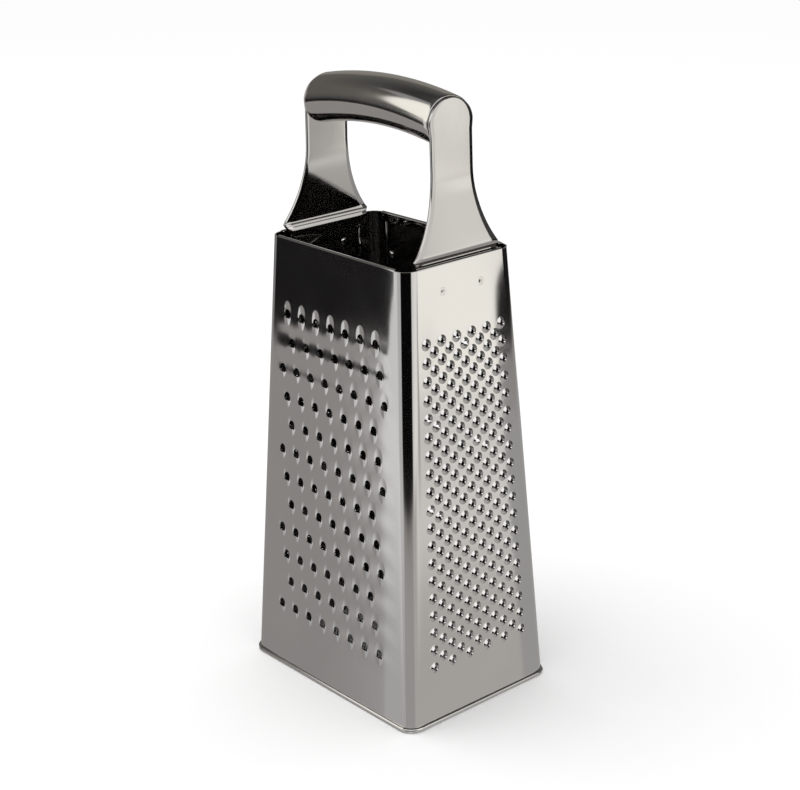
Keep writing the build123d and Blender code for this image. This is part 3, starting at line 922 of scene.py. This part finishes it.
def steel(name, colour, roughness, grain, grain_scale, smear, wave):
    """Polished stainless steel. colour is the metal's tint, darkened as painted shade for the
    inner face; roughness the polish's; grain the height in mm of fine scratches whose spacing is
    grain_scale in mm per axis; smear how much handling dulls it in patches; wave the height in
    mm of slow unevenness in the sheet."""
    material = bpy.data.materials.new(name)
    material.use_nodes = True
    tree = material.node_tree
    shader = tree.nodes["Principled BSDF"]
    shader.inputs["Metallic"].default_value = 1.0
    place = add(tree, "ShaderNodeTexCoord").outputs["Object"]
    patches = add(tree, "ShaderNodeTexNoise", Vector=place, Scale=45.0, Detail=3.0)
    stretched = add(tree, "ShaderNodeMapping", Vector=place,
                    Scale=tuple(1 / (MM * size) for size in grain_scale))
    lines = add(tree, "ShaderNodeTexNoise", Vector=stretched, Scale=1.0, Detail=2.0)
    tint = add(tree, "ShaderNodeMix", {"data_type": "RGBA"}, Factor=patches,
               in_6=linear(colour[0]), in_7=linear(colour[1]))
    tree.links.new(tint.outputs[2], shader.inputs["Base Color"])
    dull = add(tree, "ShaderNodeMapRange", Value=patches, From_Min=0.35, From_Max=0.7,
               To_Min=roughness, To_Max=roughness + smear)
    rough = add(tree, "ShaderNodeMath", {"operation": "MULTIPLY_ADD"}, in_0=lines, in_1=smear,
                in_2=dull)
    tree.links.new(rough.outputs["Value"], shader.inputs["Roughness"])
    slow = add(tree, "ShaderNodeTexNoise", Vector=place, Scale=60.0, Detail=0.0)
    uneven = add(tree, "ShaderNodeBump", Strength=1.0, Distance=wave * MM, Height=slow)
    scratched = add(tree, "ShaderNodeBump", Strength=1.0, Distance=grain * MM, Height=lines,
                    Normal=uneven)
    tree.links.new(scratched.outputs["Normal"], shader.inputs["Normal"])
    return material


# Bright-annealed stainless sheet, rolled and polished: mirrors its surroundings a little softly
body_steel = steel("bright_annealed_sheet", ("#cbc9c8", "#d2d0ce"), 0.04, 0.0,
                   (0.5, 0.5, 12.0), 0.02, 0.006)
# Its inner face, left as it came from the mill: grey and silky; its tint is darkened well
# below the steel's own, painted shade for the dark inside of the grater
inner_steel_painted_shade = steel("mill_finish_sheet", ("#737170", "#7c7a78"), 0.20, 0.0,
                    (0.5, 0.5, 12.0), 0.05, 0.01)
# The same sheet crimped and rubbed on the table: a little duller
rim_steel = steel("crimped_rim_steel", ("#cbc9c7", "#d6d4d1"), 0.10, 0.0004,
                  (0.5, 0.5, 1.0), 0.05, 0.0)
# Stamped and tumbled stainless strip: a softer shine, its tint a little darker than the sheet's
leg_steel = steel("tumbled_strip_steel", ("#bdbbb9", "#c4c2c0"), 0.05, 0.0002,
                  (0.4, 0.6, 6.0), 0.03, 0.004)
# Drawn and buffed stainless tube: fine marks run round it
grip_steel = steel("buffed_tube_steel", ("#cbc8c4", "#d2cfcb"), 0.07, 0.0003,
                   (0.35, 6.0, 6.0), 0.04, 0.004)
# Resistance-weld marks, polished over with the sheet: only a small dimple still shows
weld_steel = steel("polished_weld_steel", ("#c6c4c1", "#cecbc8"), 0.05, 0.0,
                   (0.4, 0.4, 0.4), 0.02, 0.0)

# Pieces
body_patches = coarse_wall()
body_patches += fine_wall.wall_patches(fine_rings, fine_tooth)
body_patches += slicer_wall()
body_patches += rasp_wall.wall_patches(rasp_rings, rasp_tooth)
body_patches += [corner_patch(wall) for wall in range(4)]
points, quads, sharp, is_inner = thickened(*joined(body_patches), SHEET)
steel_piece("grater_body", points, quads, body_steel, "body_steel", "body_sheet", sharp,
            (inner_steel_painted_shade, is_inner))
steel_piece("foot_bead", *bead_net(), rim_steel, "rim_steel", "base_rim")
steel_piece("leg_right", *leg_net(1), leg_steel, "leg_steel", "right_leg")
steel_piece("leg_left", *leg_net(-1), leg_steel, "leg_steel", "left_leg")
steel_piece("grip", *grip_net(), grip_steel, "grip_steel", "grip_tube")
WELD_BACK = 0.05
for wall, name in ((FINE, "right_leg"), (RASP, "left_leg")):
    marks = [(wall, side * WELD_SPREAD, WELD_HEIGHT, SHEET + LEG_THICKNESS + WELD_BACK)
             for side in (-1, 1)]
    steel_piece(name + "_weld_marks", *weld_net(marks), weld_steel, "weld_steel", name + "_welds")
marks = [(SLICER, flat_half(SLICER, at) - SEAM_MIDDLE, at, 2 * SHEET + WELD_BACK)
         for at in SEAM_WELDS]
steel_piece("seam_weld_marks", *weld_net(marks), weld_steel, "weld_steel", "seam_welds")

# Floor: a white table top. What the steel mirrors of it is its shaded part inside the grater;
# outside, mirrored rays pass on to the surroundings, which show the table's far parts too
bpy.ops.mesh.primitive_plane_add(size=30.0)
floor = bpy.context.object
floor.name = "table_top"
white = bpy.data.materials.new("white_table")
white.use_nodes = True
shade = white.node_tree
surface = shade.nodes["Principled BSDF"]
surface.inputs["Base Color"].default_value = linear("#fbfbfb")
surface.inputs["Roughness"].default_value = 0.8
surface.inputs["Specular IOR Level"].default_value = 0.0
plan = add(shade, "ShaderNodeVectorMath", {"operation": "ABSOLUTE"},
           in_0=add(shade, "ShaderNodeTexCoord").outputs["Object"])
plan = add(shade, "ShaderNodeSeparateXYZ", Vector=plan)
outside = add(shade, "ShaderNodeMath", {"operation": "MAXIMUM"}, **{
    "in_%d" % axis: add(shade, "ShaderNodeMath", {"operation": "GREATER_THAN"},
                        in_0=plan.outputs[axis], in_1=BASE[axis] / 2 * MM)
    for axis in (0, 1)})
passed = add(shade, "ShaderNodeMath", {"operation": "MULTIPLY"}, in_0=outside,
             in_1=add(shade, "ShaderNodeLightPath").outputs["Is Glossy Ray"])
mixed = add(shade, "ShaderNodeMixShader", Fac=passed, in_1=surface,
            in_2=add(shade, "ShaderNodeBsdfTransparent"))
shade.links.new(mixed.outputs["Shader"], shade.nodes["Material Output"].inputs["Surface"])
floor.data.materials.append(white)

# Surroundings that the steel mirrors. Elevations in degrees up from level: the white table
# below, painted grey as painted shade, a dark band beyond its far edge, then dim walls and ceiling
world = bpy.data.worlds.new("studio")
bpy.context.scene.world = world
world.use_nodes = True
world.cycles.sampling_method = "NONE"
sky = world.node_tree
sky.nodes.clear()
direction = add(sky, "ShaderNodeTexCoord").outputs["Generated"]
height = add(sky, "ShaderNodeSeparateXYZ", Vector=direction).outputs["Z"]
rise = add(sky, "ShaderNodeMath", {"operation": "ARCSINE"}, in_0=height)
ramp = add(sky, "ShaderNodeValToRGB", Fac=add(
    sky, "ShaderNodeMapRange", Value=rise, From_Min=-math.pi / 2, From_Max=math.pi / 2))
LAYERS = ((-90, "#a29f9d"), (-25, "#a4a1a0"), (-14.5, "#a6a3a1"), (-14.0, "#1c1b1c"),
          (-8, "#282727"), (-2, "#555453"), (10, "#6b6966"), (28, "#6d6b66"), (40, "#5c5b5a"),
          (52, "#3c3c3d"), (70, "#605f5e"), (90, "#7b7a78"))
while len(ramp.color_ramp.elements) < len(LAYERS):
    ramp.color_ramp.elements.new(1.0)
for element, (elevation, code) in zip(ramp.color_ramp.elements, LAYERS):
    element.position = (elevation + 90) / 180
    element.color = linear(code)
colour = ramp
# Soft boxes, flags and lit parts of the table: left and right azimuth and lower and upper
# elevation, each with its edge's softness, all in degrees, then colour, brightness and how far
# the sides lean to the left for each degree of elevation
PANELS = (
    # table, from the left round by the camera to the back: its far part painted brighter, its
    # near part left darker as the grater's painted shadow on the table
    ((-137.5, 5), (-84, 4), (-95, 1), (-14.25, 0.5), "#ffffff", 0.55, 0),
    ((-137.5, 5), (-103, 12), (-21, 8), (-14.25, 0.5), "#ffffff", 0.92, 0),
    ((-110, 12), (-82, 10), (-19, 5), (-14.25, 0.5), "#ffffff", 0.72, 0),
    ((-82, 16), (-12, 12), (-95, 1), (-17.3, 3), "#fffdfb", 0.45, 0),
    ((-16, 8), (43.9, 1), (-95, 1), (-12, 1), "#fffdf8", 0.57, 0),
    ((16, 28), (43.9, 1), (-21, 5.5), (-12, 1), "#fffefa", 0.94, 0),
    ((43.6, 0.4), (120, 8), (-95, 1), (-16.3, 1), "#fffefc", 0.46, 0),
    # dark room behind the camera
    ((-83, 3), (-9, 9), (-15.6, 1.6), (8, 6), "#0c0b0c", 1.0, 0),
    # soft box at the front left: its stand side, then its bright face
    ((-134.5, 0.4), (-100, 14), (-16, 1), (4, 3), "#ffffff", 0.86, 0),
    ((-112, 12), (-84.5, 4), (-16, 1), (4, 3), "#ffffff", 0.62, 0),
    ((-165, 6), (-140, 6), (42, 5), (58, 5), "#ffffff", 0.35, 0),
    ((-130.2, 2.5), (-92, 10), (3, 3), (54, 8), "#fffdf7", 1.38, 0.45),
    # soft box at the right
    ((-7, 9), (43.6, 0.4), (-16, 1.6), (16, 2), "#fffefa", 0.95, 0),
    ((40.5, 0.6), (43.6, 0.4), (-12, 1.0), (0, 4), "#fffdf8", 1.15, 0),
    ((41.6, 0.6), (43.6, 0.4), (-10.2, 1.0), (-7, 2), "#fffdf8", 1.4, 0),
    ((8, 10), (34, 4), (-16, 1.6), (-7, 3), "#fffefa", 1.08, 0),
    ((31, 6), (39.65, 0.3), (-18.5, 3), (-12, 2), "#fffdf8", 0.58, 0),
    ((39.65, 0.3), (43.6, 0.4), (-15.6, 1.8), (-10.9, 0.6), "#fffdf6", 1.31, 0),
    ((-95, 10), (36, 6), (10, 6), (44, 5), "#ffffff", 1.4, 0),
    # pale walls behind and at the left
    ((105, 6), (124, 5), (-18, 2), (10, 4), "#ffffff", 1.5, 0),
    ((124, 6), (152, 6), (-3, 6), (27, 6), "#fffaf0", 0.29, 0),
    ((-185, 6), (-155.8, 0.6), (-14.5, 1), (12, 6), "#ffffff", 0.27, 0),
)


def edge(value, at, softness, falling=False):
    """0 to 1 across an edge at an angle in degrees, or 1 to 0 if it falls."""
    ends = at - softness / 2, at + softness / 2
    low, high = ends[::-1] if falling else ends
    return add(sky, "ShaderNodeMapRange", {"interpolation_type": "SMOOTHSTEP"}, Value=value,
               From_Min=math.radians(low), From_Max=math.radians(high))


def product(*factors):
    """Product of nodes' values."""
    total = factors[0]
    for factor in factors[1:]:
        total = add(sky, "ShaderNodeMath", {"operation": "MULTIPLY"}, in_0=total, in_1=factor)
    return total


for left, right, low, high, code, strength, lean in PANELS:
    middle = (left[0] + right[0]) / 2
    facing = add(sky, "ShaderNodeVectorRotate", {"rotation_type": "Z_AXIS"}, Vector=direction,
                 Angle=-math.radians(middle))
    parts = add(sky, "ShaderNodeSeparateXYZ", Vector=facing)
    across = add(sky, "ShaderNodeMath", {"operation": "ARCTAN2"}, in_0=parts.outputs["Y"],
                 in_1=parts.outputs["X"])
    across = add(sky, "ShaderNodeMath", {"operation": "MULTIPLY_ADD"}, in_0=rise, in_1=lean,
                 in_2=across)
    mask = product(edge(across, left[0] - middle, left[1]),
                   edge(across, right[0] - middle, right[1], falling=True),
                   edge(rise, *low), edge(rise, *high, falling=True))
    panel = tuple(strength * value for value in linear(code)[:3]) + (1.0,)
    colour = add(sky, "ShaderNodeMix", {"data_type": "RGBA"}, Factor=mask, in_6=colour,
                 in_7=panel).outputs[2]
mirrored = add(sky, "ShaderNodeLightPath").outputs["Is Glossy Ray"]
seen = add(sky, "ShaderNodeMix", {"data_type": "RGBA"}, Factor=mirrored,
           in_6=(1.0, 1.0, 1.0, 1.0), in_7=colour).outputs[2]
glow = add(sky, "ShaderNodeBackground", Color=seen, Strength=1.0)
add(sky, "ShaderNodeOutputWorld", Surface=glow)

# Soft key light, high on the left
key_data = bpy.data.lights.new("soft_key", "AREA")
key_data.shape = "RECTANGLE"
key_data.size, key_data.size_y = 0.8, 0.8
key_data.energy = 3.0
key = bpy.data.objects.new("soft_key", key_data)
key.location = (-0.5, -0.4, 1.1)
key.rotation_euler = (Vector((0, 0, 0.1)) - key.location).to_track_quat("-Z", "Y").to_euler()
key.visible_glossy = False
bpy.context.scene.collection.objects.link(key)

# Camera at the photograph's place: it looks at AIM from DISTANCE metres
AZIMUTH, ELEVATION, ROLL = (math.radians(v) for v in (49.232, 20.204, -1.248))
DISTANCE = 0.6852
AIM = Vector((0.00188, 0.00220, 0.11491))
turn = (Matrix.Rotation(AZIMUTH, 4, "Z") @ Matrix.Rotation(math.pi / 2 - ELEVATION, 4, "X")
        @ Matrix.Rotation(ROLL, 4, "Z"))
camera_data = bpy.data.cameras.new("camera")
camera_data.sensor_width = 36.0
camera_data.lens = 79.713
camera = bpy.data.objects.new("camera", camera_data)
camera.matrix_world = Matrix.Translation(AIM) @ turn @ Matrix.Translation((0, 0, DISTANCE))
bpy.context.scene.collection.objects.link(camera)
bpy.context.scene.camera = camera
bpy.context.scene.view_settings.view_transform = "Standard"
